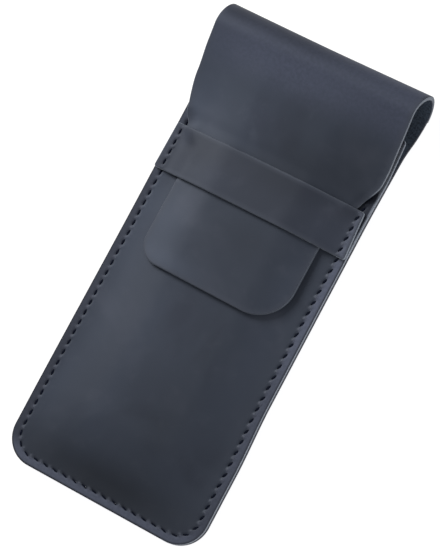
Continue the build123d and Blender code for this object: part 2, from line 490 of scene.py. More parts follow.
def strapStep(x, y):  # 0 on the sewn ends, 1 over the tongue
    near = ease((y - (strapHigh.y - strap["upperBand"])) / strap["upperBand"])
    outer = strap["footAt"] + strap["footUpper"] * near
    inner = strap["levelAt"] + strap["levelUpper"] * near
    return between(abs(x), outer, inner)


def strapUnder(x, y):
    lift = thick + 2 * case["layerGap"]
    return frontTop(x, y) + lift * strapStep(x, y)


def tongueUnder(x, y):
    free = ease((strapLow.y - flap["springFrom"] - y) / flap["springOver"])
    side = between(abs(x), *flap["springSides"])
    tip = ease((tongueLow.y + flap["springTip"] - y) / flap["springTip"])
    away = flap["springUp"] * free * (flap["sideShare"] * side + flap["tipShare"] * tip)
    return frontTop(x, y) + case["layerGap"] + away


def coverTop(x, y):
    run = coverStartY - strapHigh.y
    u = min(max((coverStartY - y) / run, 0.0), 1.0)
    fallStart = math.tan(rollTurn - math.pi) * run
    fallEnd = flap["landing"] * run
    landing = tongueUnder(0, strapHigh.y) + thick
    level = coverStartZ * (1 - ease(u)) + landing * ease(u)
    middle = level - fallStart * u * (1 - u) ** 2 + fallEnd * u * u * (1 - u)
    arch = (landing - tongueUnder(x, strapHigh.y) - thick) * u * (2 - u)
    return middle - arch


def flapPlace(x, s, h):
    if s < rollEnd:
        return rollPlace(x, (s - foldStart) / foldRadius, h)
    y = coverStartY - (s - rollEnd)
    if y >= strapHigh.y:
        top = coverTop(x, y)
        low = top - thick
    else:
        low = tongueUnder(x, y)
        top = low + thick
    pressedFrom = strapHigh.y + flap["pressedFrom"]
    if strapLow.y - flap["pressedPast"] < y < pressedFrom:
        roof = strapUnder(x, min(y, strapHigh.y)) - flap["pressedGap"]
        if top > roof:
            top += (roof - top) * ease((pressedFrom - y) / flap["pressedOver"])
        low = min(low, top - flap["pressedThin"])
    tuck = flap["leftTuck"] * between(y, *flap["tuckGrows"]) * between(y, *flap["tuckFades"])
    tuck *= max(0.0, -x / halfFold) ** 2
    skewed = flapShift(x, ease((y - flap["skewEnds"]) / flap["skewOver"]))
    return skewed + tuck, y, low + (top - low) * h / thick


def strapPlace(x, y, h):
    z = strapUnder(x, y) + h
    if h > thick / 2:
        z += seamRelief(x, y)
    return drawIn(x, y), y, z


outlineStep = 0.5  # between the points of every sheet's outline
samePlace = 1e-4


# Outlines: corners with a radius become an evenly stepped line
def roundedLine(corners, step, isClosed=True):
    points = []
    count = len(corners)
    for n, (x, y, radius) in enumerate(corners):
        here = Vector((x, y))
        isEnd = not isClosed and n in (0, count - 1)
        if isEnd or radius <= 0:
            points.append(here)
            continue
        before = Vector(corners[n - 1][:2])
        after = Vector(corners[(n + 1) % count][:2])
        u = (before - here).normalized()
        v = (after - here).normalized()
        half = u.angle(v) / 2
        reach = radius / math.tan(half)
        centre = here + (u + v).normalized() * (radius / math.sin(half))
        a = here + u * reach - centre
        b = here + v * reach - centre
        sweep = a.angle_signed(b)
        steps = max(2, math.ceil(abs(sweep) * radius / step))
        for k in range(steps + 1):
            points.append(centre + Matrix.Rotation(-sweep * k / steps, 2) @ a)
    line = []
    total = len(points)
    for n in range(total if isClosed else total - 1):
        a, b = points[n], points[(n + 1) % total]
        pieces = max(1, math.ceil((b - a).length / step))
        line += [a.lerp(b, k / pieces) for k in range(pieces)]
    if not isClosed:
        line.append(points[-1])
    return [p for n, p in enumerate(line) if (p - line[n - 1]).length > samePlace]


# Where each look of a cut edge starts and is full, this far inside the cut
edge = {
    "round": 0.34,  # radius of its two corners
    "insets": (0.0, 0.03, 0.1, 0.2, 0.34, 0.6),  # rows of points
    "cut": (0.22, 0.02),  # raw and pale, a painted highlight
    "dark": (0.45, 0.1),  # burnished, and partly painted shade
    "darkMost": 0.75,
    "bevelStarts": (0.02, 0.22),
    "bevelEnds": (0.9, 0.3),
    "flesh": (0.1, 0.5),
    "beyond": 2.0,  # counts as well inside the edge
}


def edgeDrop(inset):  # how far a rounded edge falls away this far inside the cut
    r = edge["round"]
    return 0.0 if inset >= r else r - math.sqrt(r * r - (r - inset) ** 2)


# What the hide is like at each point, with its painted light and shade, for its materials
finishMasks = ("wear", "band", "pull", "bevel", "cut", "flesh", "hole")


def addAttributes(mesh, flats, values):  # where each point lay on the flat hide, in mm, and its finish
    made = mesh.attributes.new("flat", "FLOAT_VECTOR", "POINT")
    made.data.foreach_set("vector", [c for flat in flats for c in flat])
    for name, numbers in values.items():
        made = mesh.attributes.new(name, "FLOAT", "POINT")
        made.data.foreach_set("value", numbers)


def cutAt(inset):
    return between(inset, *edge["cut"])


def darkAt(inset):
    return edge["darkMost"] * between(inset, *edge["dark"])


def bevelAt(inset):
    return between(inset, *edge["bevelStarts"]) * between(inset, *edge["bevelEnds"])


def fleshAt(inset, side):  # 1 on the bare flesh side, which is side 0, short of its edges
    return 0.0 if side else between(inset, *edge["flesh"])


def patchAt(patch, x, y):
    midX, midY, reachX, reachY, amount = patch
    return amount * math.exp(-((x - midX) / reachX) ** 2 - ((y - midY) / reachY) ** 2)


darkestShadeAndWear, palestShadeAndWear = 0.4, 2.1


def wear(patches, x, y):  # how much lighter or darker the hide is painted here, with painted light and shade and with wear
    share = sum((patchAt(patch, x, y) for patch in patches), 1.0)
    return min(max(share, darkestShadeAndWear), palestShadeAndWear)


# Patches of painted light and shade, partly the hide's own rubbed and darkened tone: middle x and y, reach
# across and along, and amount
frontShadeAndWear = [
    (-27, -28, 9, 30, 0.28),
    (-31, 8, 6, 17, 0.65),
    (-3, -20, 9, 13, 0.22),
    (-12, -32, 5, 38, 0.22),
    (9, -50, 7, 15, -0.20),
    (-31, -50, 4, 12, 0.24),
    (-2, -74, 32, 8, -0.64),
    (25, -16, 6, 24, 0.18),
    (28, -50, 10, 24, -0.06),
]
flapShadeAndWear = [
    (-30, 50, 13, 17, 0.50),
    (-26, 40, 10, 8, 0.06),
    (-33, 44, 4, 5, 0.26),
    (-3, 60, 14, 12, 0.22),
    (-10, 50, 6, 10, 0.34),
    (8, 43, 11, 8, -0.28),
    (27, 46, 14, 13, -0.26),
    (-22, 8, 8, 11, 0.52),
    (-16, -4, 12, 5, 0.56),
    (24, 4, 5, 13, 0.26),
    (4, 14, 9, 6, -0.14),
    (-12, 78, 24, 4, -0.42),
    (-32, 78, 8, 4, -0.22),
]
strapShadeAndWear = [
    (-23, 34, 9, 6, -0.26),
    (-15, 26, 9, 5, 0.20),
    (6, 36, 14, 5, -0.22),
    (29, 27, 10, 7, 0.34),
    (-30.5, 35.5, 2.4, 4, 0.40),
]


def flapY(s):  # how far up the case a place along the flap lies
    if s < rollEnd:
        return foldY + foldRadius * math.sin((s - foldStart) / foldRadius)
    return coverStartY - (s - rollEnd)


def foldTint(x, s):
    along = ease((s - foldStart) / fold["tintGrows"])
    along *= 1 - ease((s - rollEnd - fold["tintPast"]) / fold["tintFades"])
    across = fold["tintLeft"] + (1 - fold["tintLeft"]) * between(x, *fold["tintEvens"])
    return fold["tint"] * along * across


sharpAngle = 50  # degrees


def looksInwards(mesh):  # a closed mesh with its faces turned in holds less than nothing
    return sum(face.center.dot(face.normal) * face.area for face in mesh.polygons) < 0


def makePiece(name, verts, faces):
    mesh = bpy.data.meshes.new(name)
    mesh.from_pydata([Vector(v) * mm for v in verts], [], faces)
    mesh.validate()
    if looksInwards(mesh):
        mesh.flip_normals()
    mesh.polygons.foreach_set("use_smooth", [True] * len(mesh.polygons))
    mesh.set_sharp_from_angle(angle=math.radians(sharpAngle))
    piece = bpy.data.objects.new(name, mesh)
    bpy.context.collection.objects.link(piece)
    return piece


sheet = {
    "endStep": 1.5,  # points across a sheet's plain end
    "slitMargin": 0.7,  # slits nearer to the outline's ends are left out
    # painted shade on each slit's rim
    "slitDark": 0.9,
    "fleshAway": 300.0,  # the flesh side shows another part of the hide's pattern
    "weldGap": 1e-5,
    "rowShare": 0.866,  # of the spacing, between rows of evenly spread points
}


def insetRows(outline, isClosed):  # the outline once for each inset, further and further inside
    count = len(outline)
    points, insets = [], []
    for inset in edge["insets"]:
        for n, p in enumerate(outline):
            before = outline[n - 1] if isClosed or n else p
            after = outline[(n + 1) % count] if isClosed or n < count - 1 else p
            along = (after - before).normalized()
            points.append(p + Vector((-along.y, along.x)) * inset)
            insets.append(inset)
    return points, insets


def rowFaces(count, isClosed):
    faces = []
    for row in range(len(edge["insets"]) - 1):
        for n in range(count if isClosed else count - 1):
            a = row * count + n
            b = row * count + (n + 1) % count
            faces.append((a, b, b + count, a + count))
    return faces


def slitLoops(outline, shiftY):  # the slits that lie wholly in the sheet
    low = min(p.y for p in outline) + sheet["slitMargin"]
    high = max(p.y for p in outline) - sheet["slitMargin"]
    loops = []
    for slit in slits:
        loop = [p - Vector((0, shiftY)) for p in slitShape(slit)]
        if min(p.y for p in loop) > low and max(p.y for p in loop) < high:
            loops.append(loop)
    return loops


def fillRow(row, inner, loops, isClosed):  # triangles inside the innermost row, slits left open
    count = len(row)
    points = [Vector(p) for p in row]
    edges = [(n, n + 1) for n in range(count - 1)]
    endIds = []
    if isClosed:
        edges.append((count - 1, 0))
    else:  # the plain end: a row of points straight across
        a, b = points[-1], points[0]
        across = max(2, round((b - a).length / sheet["endStep"]))
        points += [a.lerp(b, k / across) for k in range(1, across)]
        endIds = list(range(count, len(points)))
        edges += list(zip([count - 1] + endIds, endIds + [0]))
    slitIds = []
    for loop in loops:
        ids = list(range(len(points), len(points) + len(loop)))
        points += loop
        edges += list(zip(ids, ids[1:] + ids[:1]))
        slitIds.append(ids)
    points += inner
    _, _, triangles, origin, _, _ = delaunay_2d_cdt(points, edges, [], 1, sheet["weldGap"])
    slitOf = {n: k for k, ids in enumerate(slitIds) for n in ids}
    faces = []
    for triangle in triangles:
        corners = [min(origin[n]) for n in triangle]
        around = {slitOf.get(n) for n in corners}
        if len(around) > 1 or None in around:  # not inside a slit
            faces.append(corners)
    return points, faces, slitIds, endIds


def leatherSheet(name, outline, inner, place, finish, isClosed=True, isStitched=False, shiftY=0.0):
    count = len(outline)
    points, insets = insetRows(outline, isClosed)
    last = len(points) - count
    loops = slitLoops(outline, shiftY) if isStitched else []
    fill, fillFaces, slitIds, endIds = fillRow(points[last:], inner, loops, isClosed)
    points += fill[count:]
    insets += [edge["beyond"]] * (len(fill) - count)
    top = rowFaces(count, isClosed) + [tuple(last + n for n in face) for face in fillFaces]
    slitRings = [[last + n for n in ids] for ids in slitIds]
    cutLine = []
    if not isClosed:
        rows = range(len(edge["insets"]))
        cutLine = [row * count + count - 1 for row in rows] + [last + n for n in endIds]
        cutLine += [row * count for row in reversed(rows)]
    half = len(points)
    verts, flats = [], []
    values = {mask: [] for mask in finishMasks}
    rimIds = {n for ring in slitRings for n in ring}
    for side in (1, 0):
        for n, ((x, y), inset) in enumerate(zip(points, insets)):
            drop = edgeDrop(inset)
            verts.append(place(x, y, thick - drop if side else drop))
            flats.append((x, y, sheet["fleshAway"] * (1 - side)))
            isSeam = isStitched and side
            cut, dark, band, shadedWear = finish(x, y, inset, side)
            values["wear"].append(shadedWear)
            values["cut"].append(cut)
            values["bevel"].append(bevelAt(inset))
            values["band"].append(max(band, bandAt(x, y + shiftY)) if isSeam else band)
            values["pull"].append(seamPinch(x, y + shiftY) if isSeam else 0.0)
            values["flesh"].append(fleshAt(inset, side))
            # painted shade at the slits' rims; elsewhere the finish's burnished dark and painted shade
            values["hole"].append(sheet["slitDark"] if n in rimIds else dark)
    faces = top + [tuple(half + n for n in reversed(f)) for f in top]
    for n in range(count if isClosed else count - 1):
        m = (n + 1) % count
        faces.append((n + half, m + half, m, n))
    for a, b in zip(cutLine[:-1], cutLine[1:]):
        faces.append((a + half, b + half, b, a))
    for ring in slitRings:
        faces += [(a, b, b + half, a + half) for a, b in zip(ring, ring[1:] + ring[:1])]
    piece = makePiece(name, verts, faces)
    addAttributes(piece.data, flats, values)
    return piece


def gridPoints(spacing, inside, low, high):
    rowStep = spacing * sheet["rowShare"]
    found = []
    for r in range(int((high[1] - low[1]) / rowStep) + 1):
        for c in range(int((high[0] - low[0]) / spacing) + 1):
            p = Vector((low[0] + spacing * (c + 0.5 * (r % 2)), low[1] + rowStep * r))
            if inside(p.x, p.y):
                found.append(p)
    return found


seamRows = {  # rows of close points along the seam band, clear of the slits
    "insets": (0.85, 1.1, 1.4, 1.75, 2.05, 2.3, 2.55, 2.85, 3.15, 3.4, 3.65, 3.95, 4.35, 4.9),
    "step": 0.42,
    "clear": 1.18,
    "swell": 0.16,
}


def seamPoints(topY):
    found = []
    for inset in seamRows["insets"]:
        half = halfBody - inset
        foot = bottomY + inset
        corner = case["corner"] - inset
        corners = [(-half, topY, 0), (-half, foot, corner), (half, foot, corner), (half, topY, 0)]
        found += roundedLine(corners, seamRows["step"], False)
    found = [p for p in found if slitReach(p.x, p.y) > seamRows["clear"]]
    for slit in slits:
        found += [p for p in slitShape(slit, seamRows["swell"]) if p.y < topY]
    return found


# Front panel
front = {
    "mouthIn": 1.1,  # its upper corners are pulled in and down
    "mouthDown": 0.7,
    "mouthRound": 1.4,
    "narrowsFrom": 50.0,
    "narrowsRound": 60.0,
    "spacing": 1.5,
    "gridFrom": 5.4,  # inside the seam's own rows of points
    "mouthClear": 1.5,
    "sideClear": 2.2,
    "pocketDark": (-33.3, 39.7, 1.3, 1.1, 0.9),  # painted shadow in the gap above the strap's left end
}


def frontHalf():
    return [
        (-halfBody + front["mouthIn"], mouthY - front["mouthDown"], front["mouthRound"]),
        (-halfBody, front["narrowsFrom"], front["narrowsRound"]),
        (-halfBody, bottomY, case["corner"]),
    ]


# The band outside the seam gets its own painted light and shade, darker on the left and paler on the right
# and at the bottom, so that it looks even; each step is (amount, from y, to y)
bandLightAndShade = {
    "left": 0.72,
    "leftSteps": ((-0.10, -26, -38), (0.12, 15, 24), (0.15, 24, 30)),
    "right": 0.88,
    "rightSteps": ((0.30, -66, -50), (0.55, -28, -2)),
    "leftToRight": (16, 30),
    "bottom": 1.34,
    "bottomFrom": (-72.5, -77),
}


def stepped(first, steps, y):
    return sum((amount * between(y, start, end) for amount, start, end in steps), first)


def seamBandLightAndShade(shadedWear, x, y):
    left = stepped(bandLightAndShade["left"], bandLightAndShade["leftSteps"], y)
    right = stepped(bandLightAndShade["right"], bandLightAndShade["rightSteps"], y)
    lift = left + (right - left) * between(x, *bandLightAndShade["leftToRight"])
    lift += (bandLightAndShade["bottom"] - lift) * between(y, *bandLightAndShade["bottomFrom"])
    return shadedWear + (lift - shadedWear) * bandAt(x, y)


# Beside the strap's right end the ledge gets a painted highlight, then a painted shadow line in the gap by
# the strap's end
ledge = {
    "from": 24.0,
    "starts": (22, 24),
    "dims": (35, 39),
    "dimsBy": 0.3,
    "upper": (44, 48),  # above the strap it is wider and dimmer
    "upperDimsBy": 0.4,
    "wide": 0.35,
    "upperWider": 1.1,
    "soft": 0.3,
    "lineIn": 0.5,
    "lineStarts": (29, 33),
    "lineEnds": (49, 45),
    "lineDark": 0.88,
    # painted shade under the front's cut edge, between it and the back panel
    "backDark": 0.6,
}


def frontFinish(x, y, inset, side):
    shadedWear = seamBandLightAndShade(wear(frontShadeAndWear, x, y), x, y) if side else 1.0
    # Left of the ledge the cut edge is dark, burnished and partly painted shade, with the pocket's painted
    # shadow
    if x < ledge["from"]:
        return 0.0, max(darkAt(inset), side * patchAt(front["pocketDark"], x, y)), 0.0, shadedWear
    # On the right the cut edge and the ledge get a painted highlight, and the gap a painted shadow line
    fromEdge = halfBody - x
    upper = between(y, *ledge["upper"])
    pale = between(y, *ledge["starts"]) * (1 - ledge["dimsBy"] * between(y, *ledge["dims"]))
    pale *= 1 - ledge["upperDimsBy"] * upper
    pale *= 1 - ease((fromEdge - ledge["wide"] - ledge["upperWider"] * upper) / ledge["soft"])
    line = ledge["lineDark"] * between(y, *ledge["lineStarts"]) * between(y, *ledge["lineEnds"])
    line *= ease((fromEdge - ledge["lineIn"]) / ledge["soft"])
    dark = line if side else ledge["backDark"] * cutAt(inset)
    return side * max(cutAt(inset), pale), dark, 0.0, shadedWear


frontCorners = frontHalf() + [(-x, y, radius) for x, y, radius in reversed(frontHalf())]
frontTopY = mouthY - front["mouthDown"] - front["mouthClear"]


def insideFront(x, y):
    return edgeInset(x, y) > front["gridFrom"] and y < frontTopY


def isClearOfMouth(p):
    return p.y < front["narrowsFrom"] or abs(p.x) < halfBody - front["sideClear"]


frontInner = [p for p in seamPoints(frontTopY) if isClearOfMouth(p)]
frontInner += gridPoints(front["spacing"], insideFront, (-halfBody, bottomY), (halfBody, mouthY))
frontLeather = leatherSheet(
    "frontLeather",
    roundedLine(frontCorners, outlineStep),
    frontInner,
    frontPlace,
    frontFinish,
    isStitched=True,
)
print("front panel made", len(frontLeather.data.vertices))


# Back panel, as far round the fold as half way between the first two bend lines
back = {
    "widens": (-8, 2),  # from the mouth's height, out to the width of the fold
    "rowStep": 1.6,
    "rows": 11,
    "rawBy": 0.6,  # near the fold its cut edge gets a painted highlight in place of some of its dark
    "rawFrom": (-4, 4),
    "spacing": 1.5,
    "gridFrom": 5.6,
    "mouthClear": 1.6,
    "aboveSeam": 1.4,
    "endClear": 0.9,
}
bendStep = rollTurn / len(strips + ["flap"])
backEnd = foldStart + foldRadius * bendStep


def backSide(y):
    return halfBody + (halfFold - halfBody) * between(y - mouthY, *back["widens"])


def backOutlineLine():
    down = [(-backSide(bottomY + backEnd), backEnd)]
    for n in range(back["rows"]):
        s = foldStart - back["rowStep"] * n
        down.append((-backSide(bottomY + s), s))
    line = [(x, s, 0) for x, s in down] + [(-halfBody, 0, case["corner"]), (halfBody, 0, case["corner"])]
    line += [(-x, s, 0) for x, s in reversed(down)]
    return roundedLine(line, outlineStep, False)


def backFinish(x, s, inset, side):
    litShare = back["rawBy"] * between(s - foldStart, *back["rawFrom"])
    return litShare * cutAt(inset), (1 - litShare) * darkAt(inset), 0.0, 1.0


def insideBack(x, s):
    isInPouch = edgeInset(x, s + bottomY) > back["gridFrom"]
    isAboveSeam = s > mouthY - bottomY - back["aboveSeam"] and abs(x) < halfBody - back["mouthClear"]
    return (isInPouch or isAboveSeam) and s < backEnd - back["endClear"]


backInner = [p - Vector((0, bottomY)) for p in seamPoints(mouthY - back["mouthClear"])]
backInner += gridPoints(back["spacing"], insideBack, (-halfBody, 0), (halfBody, backEnd))
backLeather = leatherSheet(
    "backLeather",
    backOutlineLine(),
    backInner,
    backPlace,
    backFinish,
    isClosed=False,
    isStitched=True,
    shiftY=bottomY,
)
print("back panel made", len(backLeather.data.vertices))


# The middle of the fold, in two lengths that meet between bend lines
roll = {"rows": 16, "columns": 46, "sideClear": 1.5}


def rollSheet(name, startTurn, endTurn):
    rows, columns = roll["rows"], roll["columns"]
    ends = [(halfFold - inset, inset) for inset in edge["insets"]]
    levelHalf = halfFold - roll["sideClear"]
    middle = [(levelHalf - 2 * levelHalf * n / columns, edge["beyond"]) for n in range(columns + 1)]
    across = ends + middle + [(-x, inset) for x, inset in reversed(ends)]
    loop = [(x, thick - edgeDrop(inset), inset, 1) for x, inset in across]
    loop += [(x, edgeDrop(inset), inset, 0) for x, inset in reversed(across)]
    verts, flats, faces = [], [], []
    values = {mask: [] for mask in finishMasks}
    for row in range(rows + 1):
        a = startTurn + (endTurn - startTurn) * row / rows
        s = foldStart + foldRadius * a
        litShare = fold["rawBack"] + (1 - fold["rawBack"]) * between(a, *fold["rawGrows"])
        for x, h, inset, side in loop:
            verts.append(rollPlace(x, a, h))
            flats.append((x, s, sheet["fleshAway"] * (1 - side)))
            values["cut"].append(cutAt(inset) * litShare)
            values["bevel"].append(bevelAt(inset))
            values["flesh"].append(fleshAt(inset, side))
            values["band"].append(side * foldTint(x, s))
            values["wear"].append(wear(flapShadeAndWear, x, flapY(s)) if side else 1.0)
            values["pull"].append(0.0)
            values["hole"].append(0.0)
    n = len(loop)
    for row in range(rows):
        for k in range(n):
            a, b = row * n + k, row * n + (k + 1) % n
            faces.append((a, a + n, b + n, b))
    width = len(across)
    for k in range(width - 1):  # ends
        mirror = n - 1 - k
        faces.append((k, k + 1, mirror - 1, mirror))
        top = rows * n
        faces.append((top + k + 1, top + k, top + mirror, top + mirror - 1))
    piece = makePiece(name, verts, faces)
    addAttributes(piece.data, flats, values)
    return piece


foldLeathers = []
for n in range(1, len(strips)):
    foldLeathers.append(rollSheet(f"foldLeather{n}", bendStep * n, bendStep * (n + 1)))
print("fold made")


# Flap, from the middle of the last strip down to the tongue's tip; laid out along the cut
def flapHalf(y):  # half width down to the strap
    share = max(0.0, flap["shoulderFrom"] - y) / flap["shoulderOver"]
    return halfFold - flap["shoulderIn"] * share ** flap["shoulderPower"]


def flapRightSide(start):  # from the roll to just past the strap's upper edge
    right = [(halfFold, start, 0)]
    y = flap["shoulderFrom"]
    while y > strapHigh.y:
        right.append((flapHalf(y), rollEnd + coverStartY - y, 0))
        y -= flap["outlineStep"]
    x, s, _ = right[-1]
    radius = flap["neckRound"]
    first = math.radians(flap["neckFrom"])
    for k in range(1, flap["neckSteps"] + 1):
        a = math.radians(flap["neckFrom"] + flap["neckTurn"] * k / flap["neckSteps"])
        inward = radius * (math.cos(first) - math.cos(a))
        right.append((x - inward, s + radius * (math.sin(a) - math.sin(first)), 0))
    _, s, _ = right[-1]
    right.append((flap["tongueHalf"] + flap["neckOut"], s + flap["outlineStep"], flap["neckFillet"]))
    right.append((flap["tongueHalf"], s + radius, 0))
    return right


def flapOutlineLine():
    tip = rollEnd + coverStartY - tongueLow.y
    start = foldStart + foldRadius * bendStep * len(strips)
    t = flap["tongueHalf"]
    right = flapRightSide(start)
    left = [(-x, s, radius) for x, s, radius in reversed(right)]
    for n, (x, s, radius) in enumerate(right[:-2]):
        cut = flap["rightCut"] * between(flapY(s), *flap["rightCutOver"]) * ease((x - t) / flap["cutFades"])
        right[n] = (x - cut, s, radius)
    for n, (x, s, radius) in enumerate(left):
        cut = flap["leftCut"] * between(flapY(s), *flap["leftCutOver"]) * ease((-x - t) / flap["cutFades"])
        left[n] = (x + cut, s, radius)
    right.append((t, tip + flap["tongueSlant"], flap["rightCorner"]))
    left.insert(0, (-t, tip, flap["tongueCorner"]))
    return roundedLine(right + left, outlineStep, False), start, tip


flapOutline, flapStart, flapTip = flapOutlineLine()

# The flap's evenly spread points stop this far inside its outline
flapClear = {"row": 0.6, "side": 1.7, "corner": 1.2, "tip": 1.3, "start": 0.9}


def flapWidth(s):
    near = [abs(p.x) for p in flapOutline if abs(p.y - s) < flapClear["row"]]
    return min(near) if near else 0.0


widths = {}


def insideFlap(x, s):
    key = round(s, 3)
    if key not in widths:
        widths[key] = flapWidth(s)
    corner = flap["rightCorner"] if x > 0 else flap["tongueCorner"]
    if s > flapTip - corner:
        dx = abs(x) - (flap["tongueHalf"] - corner)
        dy = s - (flapTip - corner)
        if dx > 0:
            return math.hypot(dx, dy) < corner - flapClear["corner"]
        return s < flapTip - flapClear["tip"]
    return abs(x) < widths[key] - flapClear["side"] and s > flapStart + flapClear["start"]


flapLook = {
    "ridge": 0.10,  # painted highlight where the tongue's left edge catches the light
    "ridgeIn": 1.5,
    "ridgeFrom": 3.0,
    "lineFlesh": 0.6,  # how pale the cut's painted highlight is on the flesh side
    "lineDims": (30, 22),  # and down the tongue
    "lineDimsBy": 0.6,
    "shoulderDims": (45.5, 42.5),  # the right shoulder's line is hidden above the strap
    "shoulderEnds": (34, 37),
    "shoulderRight": 9.0,
    "shoulderDimsBy": 0.7,
}


def flapFinish(x, s, inset, side):
    y = flapY(s)
    offRidge = (x + flap["tongueHalf"] - flapLook["ridgeIn"]) / flapLook["ridgeIn"]
    ridge = flapLook["ridge"] * math.exp(-offRidge ** 2) * ease((strapLow.y - y) / flapLook["ridgeFrom"])
    shadedWear = wear(flapShadeAndWear, x, y) + ridge if side else 1.0
    # the cut line is a painted highlight, dimmer down the tongue and on the right shoulder
    line = cutAt(inset) * (flapLook["lineFlesh"] + (1 - flapLook["lineFlesh"]) * side)
    line *= 1 - flapLook["lineDimsBy"] * between(y, *flapLook["lineDims"])
    hidden = ease(x / flapLook["shoulderRight"]) * between(y, *flapLook["shoulderDims"])
    line *= 1 - flapLook["shoulderDimsBy"] * hidden * between(y, *flapLook["shoulderEnds"])
    return line, 0.0, side * foldTint(x, s), shadedWear


flapInner = gridPoints(flap["spacing"], insideFlap, (-halfFold, flapStart), (halfFold, flapTip))
flapLeather = leatherSheet("flapLeather", flapOutline, flapInner, flapPlace, flapFinish, isClosed=False)
print("flap made", len(flapLeather.data.vertices))


# Retaining strap
def strapEnd(y):
    share = (y - strapLow.y) / (strapHigh.y - strapLow.y)
    left = strap["leftIn"][1] + (strap["leftIn"][0] - strap["leftIn"][1]) * share
    right = strap["rightIn"][1] + (strap["rightIn"][0] - strap["rightIn"][1]) * share
    return -halfBody + left, halfBody - right


strapCorners = []
for side, y in ((0, strapHigh.y), (0, strapLow.y), (1, strapLow.y), (1, strapHigh.y)):
    strapCorners.append((strapEnd(y)[side], y, strap["cornerRound"]))


def insideStrap(x, y):
    left, right = strapEnd(y)
    isAcross = left + strap["edgeIn"] < x < right - strap["edgeIn"]
    return isAcross and strapLow.y + strap["edgeIn"] < y < strapHigh.y - strap["edgeIn"]


def insideStrapMiddle(x, y):
    return insideStrap(x, y) and abs(x) < halfBody - strap["seamClear"]


strapInner = [p for p in seamPoints(strapHigh.y) if insideStrap(p.x, p.y)]
strapSpan = ((-halfBody, strapLow.y), (halfBody, strapHigh.y))
strapInner += gridPoints(strap["spacing"], insideStrapMiddle, *strapSpan)

strapLook = {
    "lineFlesh": 0.7,
    "line": 0.38,  # how pale the painted highlight on its cut line is between the sewn ends
    "lineEnds": (31, 34),
    "upperLine": 0.30,  # on the left, the upper line's painted highlight fades out in patches
    "upperRight": -8,
    "upperFrom": 30,
    "rubLong": 2.4,
    "rubWide": 9.0,
    "rubStart": 7.0,
    "rubEven": 0.5,
    "rubDepth": 0.9,
}


def strapFinish(x, y, inset, side):
    shown = strapLook["line"]
    if x <= strapLook["upperRight"] and y >= strapLook["upperFrom"]:
        place = Vector((x / strapLook["rubLong"], y / strapLook["rubWide"], strapLook["rubStart"]))
        unfaded = strapLook["rubEven"] + strapLook["rubDepth"] * noise.noise(place)
        shown = strapLook["upperLine"] * ease(unfaded)
    line = cutAt(inset) * (strapLook["lineFlesh"] + (1 - strapLook["lineFlesh"]) * side)
    line *= shown + (1 - shown) * between(abs(x), *strapLook["lineEnds"])
    return line, 0.0, 0.0, seamBandLightAndShade(wear(strapShadeAndWear, x, y), x, y) if side else 1.0


strapLeather = leatherSheet(
    "strapLeather",
    roundedLine(strapCorners, outlineStep),
    strapInner,
    strapPlace,
    strapFinish,
    isStitched=True,
)
print("strap made", len(strapLeather.data.vertices))


# Thread: each stitch is a closed loop of two twisted strands
threadMesh = {"sides": 12, "step": 0.22, "bendSteps": 4}


def threadRoute(run, high, low):  # the loop's corners, rounded, as (way along, height, heading)
    bend = seam["threadBend"]
    steps = threadMesh["bendSteps"]
    route = []
    for n, (d, z) in enumerate([(run, high), (run, low), (0, low), (0, high)]):
        cx = d - bend if d else bend
        cz = z - bend if z == high else z + bend
        for k in range(steps + 1):
            angle = math.pi / 2 - (n + k / steps) * math.pi / 2
            route.append((cx + bend * math.cos(angle), cz + bend * math.sin(angle), angle))
    filled = []
    for n, (d, z, angle) in enumerate(route):
        d2, z2, _ = route[(n + 1) % len(route)]
        pieces = max(1, round(math.hypot(d2 - d, z2 - z) / threadMesh["step"]))
        filled += [(d + (d2 - d) * k / pieces, z + (z2 - z) * k / pieces, angle) for k in range(pieces)]
    return filled


def threadLoop(a, b, high, low, verts, faces, phase):
    along = (b - a).normalized().to_3d()
    half = seam["thread"] / 2 * slitSlim(along)
    up = Vector((0, 0, 1))
    aside = along.cross(up)
    filled = threadRoute((b - a).length, high, low)
    first = len(verts)
    sides = threadMesh["sides"]
    deep = seam["twistDepth"]
    way = phase
    for n, (d, z, angle) in enumerate(filled):
        centre = a.to_3d() + along * d + up * z
        out = along * math.cos(angle) + up * math.sin(angle)
        for k in range(sides):
            t = 2 * math.pi * k / sides
            fat = 1 - deep + deep * abs(math.cos(t - math.pi * way / seam["twist"]))
            p = centre + (out * math.cos(t) + aside * math.sin(t)) * (half * fat)
            verts.append((drawIn(p.x, p.y), p.y, p.z))
        d2, z2, _ = filled[(n + 1) % len(filled)]
        way += math.hypot(d2 - d, z2 - z)
    total = len(filled)
    for n in range(total):
        here = first + n * sides
        ahead = first + (n + 1) % total * sides
        for k in range(sides):
            j = (k + 1) % sides
            faces.append((here + k, ahead + k, ahead + j, here + j))


def isPast(y):
    return y > strapHigh.y or y < strapLow.y


phaseStep = 0.37  # each stitch starts its twist a little further on
threads = []
for node, row in slitRows.items():
    surface = rimStrap if "strap" in node else rimFront
    verts, faces = [], []
    for n in range(len(row) - 1):
        middle, along = row[n]
        reach = along * (seam["slitLong"] / 2 - seam["thread"] * seam["threadIn"])
        top = rimFront if isPast(middle.y) else surface
        high = top - seam["threadSink"]
        low = rimBack + seam["threadSink"]
        threadLoop(middle - reach, middle + reach, high, low, verts, faces, phaseStep * n)
    words = node.split("_")
    piece = makePiece(words[0] + "".join(w.capitalize() for w in words[1:]), verts, faces)
    threads.append((piece, node))
print("threads made", sum(len(row) - 1 for row in slitRows.values()))


